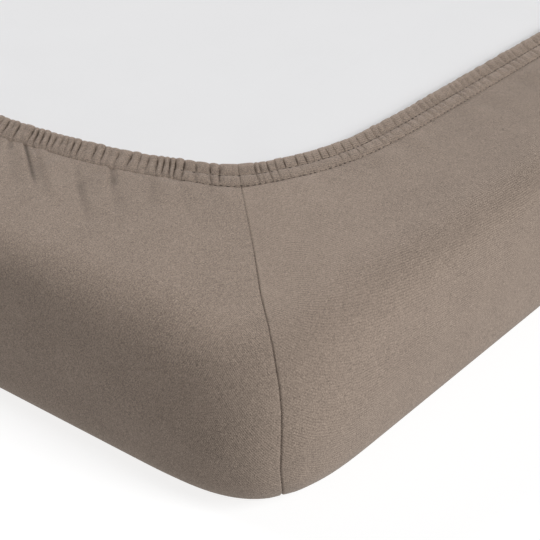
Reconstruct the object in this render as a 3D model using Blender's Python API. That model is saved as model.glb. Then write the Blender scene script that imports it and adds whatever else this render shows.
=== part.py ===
"""A fitted sheet drawn over a single mattress that lies upside down.

The mattress rests on its sleeping side, so the sheet's flat panel is underneath
and the gathered hem lies on the mattress's plain underside, which faces up.
Metres, +Z up, X along the mattress. The origin is at the centre of the bottom.

Both solids are skinned over the same sections. A section is an upright cut from the
outline of the covered mattress, seen from above, in to the hem and a little past it.
Its line is the outside of the plain cloth. The cloth's inside and the mattress lie
inward of that line, square to it.
"""

import math

import bpy

# The mattress and the cloth
LENGTH = 2.000
WIDTH = 0.900
THICK = 0.140
CLOTH = 0.0016
FACE_GAP = 0.0003
SIDE_GAP = 0.0005
TOP_GAP = 0.0011
EDGE_GAP = 0.0020

# The covered mattress from above: half sizes of the outside, and its rounded corners.
# The corner is a superellipse, so its roundness runs on softly into the sides.
HALF_X = LENGTH / 2 + CLOTH + SIDE_GAP
HALF_Y = WIDTH / 2 + CLOTH + SIDE_GAP
CORNER_REACH = 0.125
CORNER_POWER = 3.55
# Sections fan out round a point this far in from both sides of a corner
FAN_INSET = 0.330

# A section: rounded lower edge, slightly bulging side, rounded upper edge, rising top
LOWER_ROUND = 0.034
BULGE = 0.0025
CROWN = CLOTH + FACE_GAP + THICK + TOP_GAP + CLOTH
UPPER_WIDTH = 0.026
UPPER_START = 0.1075
UPPER_TOP = 0.134
UPPER_ROUNDNESS = 0.55
TOP_EASE = 1.25
CROWN_BEYOND_HEM = 0.060
# Round a corner the hem pulls the upper edge down, and the rounding is wider there
PULL_SPREAD = 0.050
WIDER_SPREAD = 0.110
CORNER_WIDTH_MORE = 0.016
CORNER_START_LESS = 0.038

# The hem: the cloth's edge folded over a hidden elastic and sewn along its middle and its
# lower line, so that it gathers into two puffed strips. Its rows, from the lower line in
# to the edge: the distance from the inner edge, the puff above the plain cloth, and how
# far the band stands off the mattress.
HEM_ROWS = (
    # from_edge, puff, stand_off
    (0.0320, 0.0000, 0.0000),
    (0.0235, 0.0003, 0.0000),
    (0.0175, 0.0034, 0.0003),
    (0.0115, 0.0012, 0.0008),
    (0.0055, 0.0038, 0.0014),
    (0.0000, 0.0020, 0.0018),
)
PUFF_UNEVEN = 0.16
HEM_POWER = 3.5
HEM_WANDER = 0.0035

# How far the hem's inner edge lies in from each side of the covered mattress
HEM_INSET = {"foot": 0.121, "front": 0.121, "head": 0.117, "back": 0.126}

# The corners in order round the mattress, counterclockwise from above. The angle is the
# outward direction where the corner starts. The reaches are how far the hem's curve runs
# along the mattress and across it, the drop is how far it pulls the upper edge down, and
# the seam is where the cloth's corner seam lies, in degrees from the corner's start.
CORNERS = (
    # start_angle, x_side, y_side, reach_x, reach_y, drop, seam
    (180, "foot", "front", 0.201, 0.270, 0.0136, 51),
    (270, "head", "front", 0.224, 0.258, 0.0124, 41),
    (360, "head", "back", 0.207, 0.277, 0.0131, 49),
    (450, "foot", "back", 0.218, 0.264, 0.0119, 38),
)
CORNER_TURNS = (0, 13, 26, 38, 51, 64, 77, 90)
SEAM_HALF_WIDTH = 2.4
SEAM_GROOVE = 0.0006

# The sides between the corners: how far from each corner the first sections lie, where
# the edge still dips and the sections still fan, and how many more lie evenly between
SIDES = ("front", "head", "back", "foot")
NEAR_CORNER = (0.022, 0.048, 0.082, 0.130, 0.190, 0.255)
MIDDLE_SECTIONS = {"front": 5, "head": 1, "back": 5, "foot": 1}

# Soft folds that run out from the gathered hem
FOLDS = (
    # side, place from 0 to 1 along it, height, half_width, length
    ("front", 0.18, 0.0016, 0.010, 0.055),
    ("front", 0.58, 0.0024, 0.012, 0.070),
    ("head", 0.42, 0.0028, 0.011, 0.070),
    ("back", 0.33, 0.0026, 0.012, 0.065),
    ("back", 0.71, 0.0020, 0.010, 0.060),
    ("foot", 0.36, 0.0022, 0.010, 0.060),
    ("foot", 0.60, 0.0030, 0.012, 0.075),
    ("foot", 0.77, 0.0018, 0.009, 0.050),
)

# Where the rows of a section lie on each of its stretches
LOWER_STEPS = (0.0, 0.3, 0.65, 1.0)
SIDE_STEPS = (0.5,)
UPPER_STEPS = (0.0, 0.27, 0.52, 0.76, 1.0)
TOP_STEPS = (0.35, 0.7)
CENTRE_STEPS = (0.4, 1.0)

CLOTH_COLOUR = (0.301, 0.238, 0.195)
MATTRESS_COLOUR = (0.80, 0.80, 0.79)


def between(first, second, share):
    return tuple(a + (b - a) * share for a, b in zip(first, second))


def wander(place):
    """A slow, uneven wave round the hem, from -1 to 1, that repeats after the four sides."""
    turn = math.pi * place
    return 0.6 * math.sin(turn + 0.7) + 0.4 * math.sin(2.5 * turn + 2.0)


def outline_corner(index, turn):
    """A point of the outline's corner and its outward angle, turn degrees from its start."""
    inside = 1e-4
    angle = math.radians(CORNERS[index][0] + min(max(turn, inside), 90 - inside))
    cosine, sine = math.cos(angle), math.sin(angle)
    x = HALF_X - CORNER_REACH * (1 - abs(cosine) ** (2 / CORNER_POWER))
    y = HALF_Y - CORNER_REACH * (1 - abs(sine) ** (2 / CORNER_POWER))
    steep = 2 - 2 / CORNER_POWER
    out_x = math.copysign(abs(cosine) ** steep, cosine)
    out_y = math.copysign(abs(sine) ** steep, sine)
    return (math.copysign(x, cosine), math.copysign(y, sine)), math.atan2(out_y, out_x)


def corner_of(x, y):
    """The row of CORNERS whose quarter of the mattress this point is in."""
    wanted = ("foot" if x < 0 else "head", "front" if y < 0 else "back")
    return next(corner for corner in CORNERS if corner[1:3] == wanted)


def outside_hem(x, y):
    """Above 0 outside the hem's curve, a rectangle with long soft corners, and below inside."""
    _, x_side, y_side, reach_x, reach_y, _, _ = corner_of(x, y)
    past_x = abs(x) - (HALF_X - HEM_INSET[x_side] - reach_x)
    past_y = abs(y) - (HALF_Y - HEM_INSET[y_side] - reach_y)
    share_x = max(0.0, past_x / reach_x)
    share_y = max(0.0, past_y / reach_y)
    return share_x**HEM_POWER + share_y**HEM_POWER - 1


def fan_point(x, y):
    """The point that the section from this place of the outline heads for."""
    limit_x = HALF_X - FAN_INSET
    limit_y = HALF_Y - FAN_INSET
    return (min(max(x, -limit_x), limit_x), min(max(y, -limit_y), limit_y))


def corner_drop(point, spread):
    """The corners' drops at a point of the outline, fading out from each corner's middle."""
    total = 0.0
    for index, corner in enumerate(CORNERS):
        middle, _ = outline_corner(index, 45)
        away = math.dist(point, middle)
        total += corner[5] * math.exp(-((away / spread) ** 2))
    return total


class Section:
    """One upright cut, and how the cloth rises and gathers along it."""

    def __init__(self, outer, outward, place, fold=0.0, fold_length=1.0, seam=False, plain=True):
        self.outer = outer
        self.place = place
        self.fold = fold
        self.fold_length = fold_length
        self.seam = seam
        self.plain = plain
        target = fan_point(*outer)
        size = math.dist(outer, target)
        self.inward = ((target[0] - outer[0]) / size, (target[1] - outer[1]) / size)
        # A section that meets the outline at a slant is longer than the cut square to it
        square = -(self.inward[0] * math.cos(outward) + self.inward[1] * math.sin(outward))
        self.slant = 1 / square
        self.span = self.distance_to_hem(size) + HEM_WANDER * wander(place)
        self.drop = corner_drop(outer, PULL_SPREAD)
        most = max(corner[5] for corner in CORNERS)
        self.wider = corner_drop(outer, WIDER_SPREAD) / most

    def at(self, along, height):
        x = self.outer[0] + self.inward[0] * along
        y = self.outer[1] + self.inward[1] * along
        return (x, y, height)

    def distance_to_hem(self, farthest):
        near, far = 0.0, farthest
        for _ in range(40):
            middle = (near + far) / 2
            x, y, _ = self.at(middle, 0.0)
            near, far = (middle, far) if outside_hem(x, y) > 0 else (near, middle)
        return near

    def upper_edge(self):
        """The upper rounding: its width square to the side, its start and its end's height."""
        width = UPPER_WIDTH + CORNER_WIDTH_MORE * self.wider
        start = UPPER_START - CORNER_START_LESS * self.wider
        return width, start, UPPER_TOP - self.drop

    def top_height(self, along):
        """The height of the nearly flat top, which rises from the upper edge to the crown."""
        width, _, top = self.upper_edge()
        start = width * self.slant
        share = (along - start) / (self.span + CROWN_BEYOND_HEM - start)
        return top + (CROWN - top) * (1 - (1 - share) ** TOP_EASE)

    def top_slope(self):
        width, _, top = self.upper_edge()
        run = self.span + CROWN_BEYOND_HEM - width * self.slant
        return math.atan(TOP_EASE * (CROWN - top) / run * self.slant)

    def upper_point(self, step):
        """A point of the upper rounding, a cubic curve from the upright side to the top."""
        width, start, top = self.upper_edge()
        slope = self.top_slope()
        pull = UPPER_ROUNDNESS * width
        insets = (0.0, 0.0, width - pull * math.cos(slope), width)
        lift = UPPER_ROUNDNESS * (top - start)
        heights = (start, start + lift, top - pull * math.sin(slope), top)
        rest = 1 - step
        weights = (rest**3, 3 * step * rest**2, 3 * step**2 * rest, step**3)
        inset = sum(weight * value for weight, value in zip(weights, insets))
        return inset, sum(weight * value for weight, value in zip(weights, heights))

    def fold_height(self, along):
        """A fold is highest at the hem and dies away along its length."""
        from_hem = self.span - HEM_ROWS[0][0] - along
        left = min(1.0, max(0.0, 1 - from_hem / self.fold_length))
        return self.fold * left * left


def edge_gap(step, first, last):
    """How far the cloth stands clear of the mattress round an edge, most at its middle."""
    even = first + (last - first) * step
    return even + (EDGE_GAP - even) * math.sin(math.pi * step)


def edge_rows(section):
    """The rows up to the top, each (inset square to the side, height, gap under the cloth)."""
    rows = []
    for step in LOWER_STEPS:
        turn = math.radians(90 * step)
        inset = LOWER_ROUND * (1 - math.sin(turn))
        height = LOWER_ROUND * (1 - math.cos(turn))
        rows.append((inset, height, edge_gap(step, FACE_GAP, SIDE_GAP)))
    _, start, _ = section.upper_edge()
    for step in SIDE_STEPS:
        bulge = BULGE * math.sin(math.pi * step)
        rows.append((-bulge, LOWER_ROUND + (start - LOWER_ROUND) * step, SIDE_GAP))
    for step in UPPER_STEPS:
        rows.append((*section.upper_point(step), edge_gap(step, SIDE_GAP, TOP_GAP)))
    return rows


def full_rows(section):
    """All rows: (along, height, slant, lift off the line, extra thickness, gap)."""
    slant = section.slant
    rows = [(inset * slant, h, slant, 0.0, 0.0, gap) for inset, h, gap in edge_rows(section)]
    start = rows[-1][0]
    flat_end = section.span - HEM_ROWS[0][0]
    for step in TOP_STEPS:
        along = start + (flat_end - start) * step
        fold = section.fold_height(along)
        rows.append((along, section.top_height(along), 1.0, fold, 0.0, TOP_GAP))
    uneven = 1 + PUFF_UNEVEN * math.sin(13 * math.pi * section.place)
    for from_edge, puff, stand_off in HEM_ROWS:
        along = section.span - from_edge
        lift = section.fold * (0.7 if puff == 0 else 0.3) + stand_off
        rows.append((along, section.top_height(along), 1.0, lift, puff * uneven, TOP_GAP))
    for step in CENTRE_STEPS:
        along = section.span + CROWN_BEYOND_HEM * step
        rows.append((along, section.top_height(along), 1.0, 0.0, 0.0, TOP_GAP))
    return rows


def outward_directions(rows):
    """The outward direction at each row, square to the line: (share inward, share up)."""
    line = [(along / slant, height) for along, height, slant, *_ in rows]
    found = []
    for i in range(len(line)):
        before = line[max(i - 1, 0)]
        after = line[min(i + 1, len(line) - 1)]
        run, rise = after[0] - before[0], after[1] - before[1]
        if rows[i][2] != rows[i - 1][2] and i > 0:
            run = (rows[i][0] - rows[i - 1][0]) / rows[i - 1][2]
            rise = line[i][1] - line[i - 1][1]
        size = math.hypot(run, rise)
        found.append((-rise / size, run / size))
    found[0] = (0.0, -1.0)
    return found


def offset_point(section, row, direction, distance):
    along, height, slant = row[:3]
    inward, up = direction
    return section.at(along + inward * distance * slant, height + up * distance)


def cloth_sides(section):
    """The outer and the inner points of the cloth, each from the bottom up to the hem."""
    rows = full_rows(section)
    directions = outward_directions(rows)
    groove = SEAM_GROOVE if section.seam else 0.0
    outer = []
    inner = []
    for row, direction in list(zip(rows, directions))[: -len(CENTRE_STEPS)]:
        _, height, _, lift, thicker, _ = row
        over = lift + thicker - (groove if height > 0 else 0.0)
        outer.append(offset_point(section, row, direction, over))
        inner.append(offset_point(section, row, direction, lift - CLOTH))
    return outer, inner


def mattress_side(section):
    """The mattress's points, from its lower edge up to the flat of its crown."""
    rows = full_rows(section)
    directions = outward_directions(rows)
    found = []
    for row, direction in zip(rows, directions):
        found.append(offset_point(section, row, direction, -CLOTH - row[-1]))
    x, y, _ = found[-1]
    found[-1] = (x, y, CROWN - CLOTH - TOP_GAP)
    hem_start = len(rows) - len(CENTRE_STEPS) - len(HEM_ROWS)
    return found[: hem_start + 1] + found[hem_start + 3 :: 2]


def skinned(name, lines, material):
    """A solid from one line of points for each section, capped at the lines' ends."""
    rings = list(zip(*lines))
    count = len(lines)
    points = [point for ring in rings for point in ring]
    faces = [tuple(reversed(range(count)))]
    for band in range(len(rings) - 1):
        low = band * count
        high = low + count
        for i in range(count):
            j = (i + 1) % count
            faces.append((low + i, low + j, high + j, high + i))
    top = (len(rings) - 1) * count
    faces.append(tuple(range(top, top + count)))
    mesh = bpy.data.meshes.new(name)
    mesh.from_pydata(points, [], faces)
    mesh.materials.append(material)
    mesh.shade_smooth()
    mesh.set_sharp_from_angle(angle=math.radians(40))
    made = bpy.data.objects.new(name, mesh)
    bpy.context.scene.collection.objects.link(made)
    return made


def plain_material(name, colour, roughness):
    made = bpy.data.materials.new(name)
    made.use_nodes = True
    shader = made.node_tree.nodes["Principled BSDF"]
    shader.inputs["Base Color"].default_value = (*colour, 1.0)
    shader.inputs["Roughness"].default_value = roughness
    shader.inputs["Metallic"].default_value = 0.0
    return made


def corner_sections(index):
    middle = CORNERS[index][6]
    spare = min(CORNER_TURNS, key=lambda turn: abs(turn - middle))
    turns = [(turn, False, True) for turn in CORNER_TURNS if turn != spare]
    turns.append((middle, True, True))
    turns += [(middle + side * SEAM_HALF_WIDTH, False, False) for side in (-1, 1)]
    found = []
    for turn, seam, plain in sorted(turns):
        outer, outward = outline_corner(index, turn)
        place = index - 0.1 + 0.2 * turn / 90
        found.append(Section(outer, outward, place, seam=seam, plain=plain))
    return found


def side_sections(index):
    """The sections between one corner and the next, with three more at each fold."""
    name = SIDES[index]
    first, outward = outline_corner(index, 90)
    last, _ = outline_corner((index + 1) % 4, 0)
    length = math.dist(first, last)
    near = [away / length for away in NEAR_CORNER]
    shares = near + [1 - share for share in near]
    count = MIDDLE_SECTIONS[name]
    for i in range(count):
        shares.append(near[-1] + (1 - 2 * near[-1]) * (i + 1) / (count + 1))
    rows = [(share, 0.0, 1.0, True) for share in shares]
    for side, place, height, half_width, run in FOLDS:
        if side == name:
            rows.append((place - half_width / length, 0.0, run, False))
            rows.append((place, height, run, False))
            rows.append((place + half_width / length, 0.0, run, False))
    found = []
    for share, height, run, plain in sorted(rows):
        outer = between(first, last, share)
        place = index + 0.1 + 0.8 * share
        found.append(Section(outer, outward, place, height, run, plain=plain))
    return found


def all_sections():
    found = []
    for index in range(4):
        found += corner_sections(index)
        found += side_sections(index)
    return found


def build_sheet(sections):
    """One piece of cloth: the panel, the walls with their corner seams, and the hem."""
    lines = []
    for section in sections:
        outer, inner = cloth_sides(section)
        lines.append(outer + inner[::-1])
    return skinned("sheet", lines, plain_material("jersey", CLOTH_COLOUR, 0.95))


def build_mattress(sections):
    lines = [mattress_side(section) for section in sections if section.plain]
    return skinned("mattress", lines, plain_material("ticking", MATTRESS_COLOUR, 0.85))


def main():
    for old in list(bpy.data.objects):
        bpy.data.objects.remove(old, do_unlink=True)
    sections = all_sections()
    build_sheet(sections)
    build_mattress(sections)


main()
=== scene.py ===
"""The looks of a fitted sheet drawn over a mattress that lies upside down.

The jersey body, the four gathered lengths of its hem between the corner seams, the hem's
stitches and the mattress's bare underside are meshes of their own. All are worked out
along upright cuts round the mattress, from its outline in to the hem, as the frame's
solids are. Metres, +Z up, X along the mattress, the hem on top.
"""

import math

import bpy
import numpy as np
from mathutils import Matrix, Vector


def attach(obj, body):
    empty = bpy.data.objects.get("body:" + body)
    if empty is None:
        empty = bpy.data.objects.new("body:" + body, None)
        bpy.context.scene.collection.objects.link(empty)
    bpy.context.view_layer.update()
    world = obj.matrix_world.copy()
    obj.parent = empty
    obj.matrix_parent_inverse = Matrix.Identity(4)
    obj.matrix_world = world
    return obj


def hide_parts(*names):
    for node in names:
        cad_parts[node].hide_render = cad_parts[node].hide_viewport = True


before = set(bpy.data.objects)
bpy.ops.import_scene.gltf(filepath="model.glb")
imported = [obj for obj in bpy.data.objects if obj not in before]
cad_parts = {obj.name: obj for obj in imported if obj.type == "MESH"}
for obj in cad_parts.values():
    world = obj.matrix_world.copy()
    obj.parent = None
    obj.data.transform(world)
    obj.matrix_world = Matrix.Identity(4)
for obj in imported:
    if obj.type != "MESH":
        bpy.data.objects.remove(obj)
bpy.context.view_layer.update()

MM = 0.001

# ---- The covered mattress, as the frame's solids have it

LENGTH = 2.000
WIDTH = 0.900
THICK = 0.140
CLOTH = 0.0016
FACE_GAP = 0.0003
SIDE_GAP = 0.0005
TOP_GAP = 0.0011
EDGE_GAP = 0.0020

HALF_X = LENGTH / 2 + CLOTH + SIDE_GAP
HALF_Y = WIDTH / 2 + CLOTH + SIDE_GAP
CORNER_REACH = 0.125
CORNER_POWER = 3.55
CORNER_PLACE = 0.1  # half of a corner, in places; four places go once round
FAN_INSET = 0.330

LOWER_ROUND = 0.034
BULGE = 0.0025
CROWN = CLOTH + FACE_GAP + THICK + TOP_GAP + CLOTH
UPPER_WIDTH = 0.026
UPPER_START = 0.1075
UPPER_TOP = 0.134
UPPER_ROUNDNESS = 0.55
TOP_EASE = 1.25
CROWN_BEYOND_HEM = 0.060
# Round a corner the hem pulls the upper edge down, and the rounding is wider there
PULL_SPREAD = 0.050
WIDER_SPREAD = 0.110
CORNER_WIDTH_MORE = 0.016
CORNER_START_LESS = 0.038
HEM_POWER = 3.5
HALVINGS = 40
HEM_WANDER = 0.0035
# Round the corner that shows: places, and the hem's width as a share of its widest
HEM_SHARES = (
    *((-0.4, 0.85), (-0.3, 0.85), (-0.19, 0.91), (-0.05, 0.97), (0.1, 1.0)),
    *((0.18, 0.92), (0.4, 0.92)),
)
# The same, and how much further in the hem's inner edge lies, in mm
EDGE_SHIFTS = (
    *((-0.6, 0.0), (-0.32, 0.6), (-0.19, 2.0), (-0.05, 1.4), (0.1, 0.7)),
    *((0.2, -0.4), (0.3, -1.4), (0.6, 0.0)),
)

HEM_INSET_X = (0.121, 0.117)  # at the foot and at the head
HEM_INSET_Y = (0.121, 0.126)  # along the front and along the back
CORNERS = (
    # side_x, side_y, reach_x, reach_y, drop, seam's turn
    (-1, -1, 0.201, 0.270, 0.0136, 49.8),
    (1, -1, 0.224, 0.258, 0.0124, 41),
    (1, 1, 0.207, 0.277, 0.0131, 49),
    (-1, 1, 0.218, 0.264, 0.0119, 38),
)
SEAM_PLACES = [i + CORNER_PLACE * (row[5] / 45 - 1) for i, row in enumerate(CORNERS)]

# ---- The body of the sheet: its rows, and its columns round the outline

COLUMN_PITCH = 0.0085
CLOSE_COLUMN_PITCH = 0.0035
CLOSE_COLUMNS_REACH = (0.40, 0.06)  # from the first seam to the foot side and the front side
OUTLINE_SAMPLES = 8001
SEAM_CLEARANCE = 1.6
SEAM_COLUMNS = (0.4 * MM, 0.9 * MM, 1.6 * MM, 2.8 * MM, 4.6 * MM)
LOWER_STEPS = (0.0, 0.12, 0.26, 0.42, 0.58, 0.72, 0.86, 1.0)
SIDE_STEPS = (0.17, 0.34, 0.5, 0.67, 0.84)
UPPER_STEPS = (0.0, 0.11, 0.22, 0.33, 0.44, 0.55, 0.66, 0.77, 0.88, 1.0)
TOP_ROWS = 20
TOP_ROW_SHIFT = 0.9
NEAR_ROWS = (0.0165, 0.0135, 0.0108, 0.0084, 0.0062, 0.0043, 0.0027, 0.0012, 0.0)
INNER_LOWER = (0.0, 0.3, 0.65, 1.0)
INNER_UPPER = (0.0, 0.25, 0.5, 0.75, 1.0)
INNER_TOP = (0.35, 0.7)
INNER_NEAR_HEM = (0.014, 0.004, -0.003)
BODY_LIP = (2.8 * MM, 0.9 * MM)  # how far past the lower line, and how deep beneath the hem

SEAM_DEPTH = 0.9 * MM
SEAM_HALF = 0.55 * MM
SEAM_DRAWN = 0.6 * MM
SEAM_DRAWN_HALF = 6.0 * MM
SEAM_LINE_AND_SHADE_HALF = 0.42 * MM
SEAM_FAINTER = 0.5
SEAM_FAINTER_HEIGHTS = (0.120, 0.136)
SEAM_STITCHES_FROM = 1.5 * MM
FLAT_BELOW = 0.2 * MM
# The cloth lies on the mattress, so a crease sinks no further than this
MOST_SUNK = 1.2 * MM
# Painted shade in the body's troughs: a trough this deep gets the darkest, and a ripple's trough
# gets less
FULL_SHADE_TROUGH = 3.8 * MM
RIPPLE_PAINTED_SHADE = 0.4
# Painted shade along the sharpest crease, drawn in the finish: half-widths, and shares of its
# fold's length
CREASE_SHADE_HALVES = (0.3 * MM, 1.7 * MM)
CREASE_SHADE_BEGINS = (-0.1, 0.1)
CREASE_SHADE_ENDS = (0.7, 1.0)
# Painted shade in the gaps between the pleats, where the darkest painted shade in a trough is 1
GAP_PAINTED_SHADE = 0.28
# How much painted light lies on the hem's inner edge, and how far in
EDGE_PAINTED_LIGHT = 0.30
EDGE_PAINTED_LIGHT_REACH = 5.0 * MM
PANEL_PAINTED_LIGHT_HEIGHTS = (0.085, 0.125)
# Painted light and shade on the panel on the front side of the first seam: painted light beside it
# and painted shade further on. Places, and how much painted shade, where the darkest in a trough
# is 1; below 0 it is painted light
PANEL_PAINTED_LIGHT_AND_SHADE = (
    *((0.0, 0.0), (0.0105, 0.0), (0.0107, -0.15), (0.08, -0.12), (0.10, -0.06), (0.12, 0.02)),
    *((0.15, 0.06), (0.19, 0.11), (0.23, 0.15), (0.30, 0.24), (0.60, 0.10), (0.90, 0.0)),
)
# How far the seams stray sideways on their way up the cloth: mm up, mm aside
SEAM_PATH = (
    *((0, 6), (30, 5.5), (60, 2.5), (100, 3.5), (115, 2.5)),
    *((130, 1.3), (145, 0.3), (185, -1.4), (230, 0)),
)
SEAM_STRAYS = (1.0, -0.7, 0.8, -1.0)
SEAM_STRAY_REACH = 0.030
STRAY_PROBE = 0.002

# Creases and soft folds that run out from the hem. Their ends are distances from the sharp
# corner of the covered mattress. A half-width below 0 puts the ridge on the other side.
FOLDS = (
    # corner, from_x, from_y, to_x, to_y, then trough, ridge, half_width in mm
    (0, 0.104, 0.302, 0.067, 0.253, 3.2, 1.2, 1.6),
    (0, 0.101, 0.289, 0.058, 0.231, 1.2, 1.2, -2.6),
    (0, 0.104, 0.252, 0.078, 0.221, 1.0, 0.6, 4.2),
    (0, 0.087, 0.233, 0.056, 0.194, 2.0, 1.0, 2.6),
    (0, 0.115, 0.230, 0.098, 0.211, 2.4, 0.8, 2.0),
    (0, 0.104, 0.219, 0.076, 0.186, 1.3, 0.8, 3.8),
    (0, 0.118, 0.195, 0.093, 0.170, 1.3, 0.8, -4.0),
    (0, 0.127, 0.177, 0.099, 0.142, 0.8, 0.7, -4.5),
    (0, 0.102, 0.315, 0.092, 0.304, 2.4, 0.8, 1.8),
    (0, 0.094, 0.306, 0.060, 0.266, 1.1, 0.5, 4.0),
    (1, 0.128, 0.262, 0.088, 0.210, 2.4, 1.4, 2.6),
    (1, 0.122, 0.214, 0.094, 0.178, 1.4, 1.2, 4.5),
    (2, 0.106, 0.278, 0.070, 0.228, 2.6, 1.6, 2.6),
    (2, 0.120, 0.206, 0.096, 0.176, 1.2, 1.2, 4.5),
    (3, 0.112, 0.250, 0.074, 0.202, 2.0, 1.4, 3.0),
)
# In shares of a fold's length
FOLD_BEGINS, FOLD_GROWS, FOLD_ENDS, FOLD_FADES = 0.12, 0.2, 1.15, 0.5
# In half-widths of a fold
FOLD_NARROW, FOLD_WIDENS, RIDGE_AWAY, RIDGE_WIDE = 0.8, 0.5, 1.9, 1.5

# ---- The hem: two puffed strips, sewn along the middle and along the lower line

LOWER_LINE = 23.5 * MM
MIDDLE_LINE = 12.1 * MM
# The rows of the hem's section, from the lip on the body over both strips to the inner edge
# and back underneath. The second height is for pleats that run unbroken over the middle.
HEM_ROWS = (
    # from_edge, height, unbroken, in mm, gather, scallop
    (25.2, -2.2, -2.2, 0.0, -1.0),
    (24.4, -1.1, -1.1, 0.0, -1.0),
    (23.6, 0.1, -0.15, 0.0, -1.0),
    (22.8, 0.9, 0.5, 0.5, -0.8),
    (21.4, 1.9, 1.3, 0.9, -0.5),
    (19.0, 2.5, 2.3, 1.0, -0.2),
    (16.2, 2.7, 2.9, 1.0, 0.0),
    (14.2, 2.5, 3.1, 1.0, 0.0),
    (12.9, 1.5, 3.0, 1.0, 0.0),
    (12.1, 0.8, 2.95, 1.0, 0.0),
    (11.3, 1.4, 3.05, 1.0, 0.0),
    (9.9, 2.7, 3.3, 1.0, 0.0),
    (7.4, 3.8, 3.75, 1.0, 0.0),
    (5.2, 4.5, 4.2, 0.55, 0.05),
    (3.2, 4.7, 4.3, 0.3, 0.15),
    (1.6, 4.2, 3.8, 0.18, 0.25),
    (0.5, 3.0, 2.7, 0.2, 0.4),
    (0.0, 1.3, 1.3, 0.1, 0.5),
    (0.4, -0.2, -0.2, 0.0, 0.5),
    (1.8, -1.4, -1.4, 0.0, 0.3),
    (8.0, -1.6, -1.6, 0.0, 0.0),
    (16.0, -1.6, -1.6, 0.0, 0.0),
    (21.0, -2.0, -2.0, 0.0, 0.0),
)
HEM_SAMPLES = 3001
FIRST_SEED = 20
GATHER_FLOOR = 0.5 * MM
SCALLOP = 1.1 * MM
PLEAT_STEPS = (0.0, 0.05, 0.13, 0.23, 0.36, 0.5, 0.64, 0.77, 0.87, 0.95)
PLEAT_SPREAD = (0.7, 1.3)
LOBE_REACH = 3.6 * MM
FLAT_LOBE_REACH = 0.9 * MM
LOBE_POWER = 0.85
SOFT_LOBE_POWER_MORE = 0.25
# How strong the gaps are, where the deepest is 1
STRONG_GAPS = (0.75, 1.0)
WEAK_GAPS = (0.35, 0.65)
STRONG_GAP_SHARE = 0.8
END_GAP = 0.5
# Where the strips are smooth, some gaps fade below the middle line
ONLY_ABOVE_SHARE = 0.5
ONLY_ABOVE_LESS = 0.85
ONLY_ABOVE_REACH = 3 * MM
LEAN_SPREAD = 0.04
PUFF_SPREAD = (0.88, 1.12)
SMOOTH_PUFF_LESS = 0.2
# Distances from a corner seam over which the hem's manners change
SMOOTH_STARTS = (8 * MM, 22 * MM)
SMOOTH_ENDS = (0.095, 0.125)
UNBROKEN_STARTS = (0.030, 0.060)
LEAN_STARTS = (0.070, 0.150)
RANDOM_LEAN_STARTS = 8 * MM
# The gaps' strength beside a corner seam, how much less further on, and over which distances
UNBROKEN_GATHER = (1.15, 0.20, 0.040, 0.070)
BROKEN_GATHER = (1.0, 0.35, 0.060, 0.100)
# Each side's gathers: the pleats' usual width in mm, how far they run unbroken over the
# middle line, how smooth the strips stay beside the corner, the pleats' lean towards it, and
# how much the body ripples below them
HEM_MANNERS = {
    "front": (8.4, 0.0, 1.0, 0.16, 0.45),
    "head": (6.0, 0.9, 0.2, 0.28, 0.9),
    "back": (8.0, 0.1, 0.8, 0.20, 0.6),
    "foot": (5.8, 1.0, 0.0, 0.30, 1.0),
}
RIPPLE = 0.60 * MM
RIPPLE_REACH = 5.0 * MM
WEDGE = 1.30 * MM
WEDGE_START = 9.0 * MM
WEDGE_PITCH = 10.0 * MM
WEDGE_REACH = 34.0 * MM
LEAN_BEYOND = 12 * MM
SEWN_DIP = 0.15 * MM
SEWN_DIP_REACH = 1.4 * MM
# The pleats beside the corner seam that shows, going out from it, in mm
PLEATS_TO_FOOT = (
    *(13.5, 6.0, 10.0, 8.8, 5.6, 3.6, 4.6, 4.4, 7.2, 6.4, 7.0, 9.8, 6.2, 5.0, 7.0),
    *(7.4, 5.6, 4.8, 5.2, 5.0, 6.0, 5.0, 5.6, 5.4, 5.0, 7.0, 6.6, 4.4),
)
PLEATS_TO_FRONT = (11.5, 3.4, 5.4, 5.4, 6.4, 9.0, 7.2, 5.6, 6.4, 6.0, 6.4)

# ---- Stitches

# pitch, length, radius, seed
HEM_STITCH = (4.4 * MM, 2.5 * MM, 0.30 * MM, 3)
SEAM_STITCH = (3.4 * MM, 1.3 * MM, 0.22 * MM, 5)
# Each sewn line's row of the hem, and how high it lies on the cloth
HEM_STITCH_LINES = ((9, 0.30 * MM), (2, 0.05 * MM))
STITCH_SUNK = 0.9 * MM
STITCH_SMOOTHED = 6
STITCH_SPREAD = (0.72, 1.12)

# ---- The mattress: rows near the hem and inside it

PAD_NEAR_HEM = (0.010, -0.004, -LOWER_LINE, -0.035, -0.055)
PAD_MIDDLE = (0.85, 0.65, 0.4, 0.15)

# ---- Colours, linear

JERSEY_COLOUR = (0.291, 0.230, 0.187)
# Darker than the thread's own colour: partly painted shade of the needle holes
THREAD_AND_HOLE_SHADE_COLOUR = (0.070, 0.053, 0.043)
TICKING_COLOUR = (0.822, 0.821, 0.830)
WHITE = (1.0, 1.0, 1.0)

# ---- Sizes in the finishes

WALE_PITCH = 1.5 * MM
WALE_DRIFT_SIZE = 9 * MM
YARN_SIZE = 0.8 * MM
SLUB_SIZE = 3.2 * MM
FLECK_SIZE = 1.0 * MM
CLOUD_SIZE = 28 * MM
PATCH_SIZE = 70 * MM
TWIST_SIZE = 0.5 * MM
TICKING_PITCH = 0.9 * MM
TICKING_FIBRE_SIZE = 1.0 * MM
TICKING_CLOUD_SIZE = 60 * MM

# ---- Light, in units where a white surface square to it comes out white

SKY = 0.21
FLOOR_BOUNCE = 0.70
SUNS = (
    # turn, height, strength
    (90, 35, 0.66),
    (-75, 30, 0.73),
)
SUN_SIZE = 35
FLOOR_GLOW = 0.80
FLOOR_HALF = 14.0

# ---- Camera: focal length in mm, place, and degrees down from level and round from +X

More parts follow.
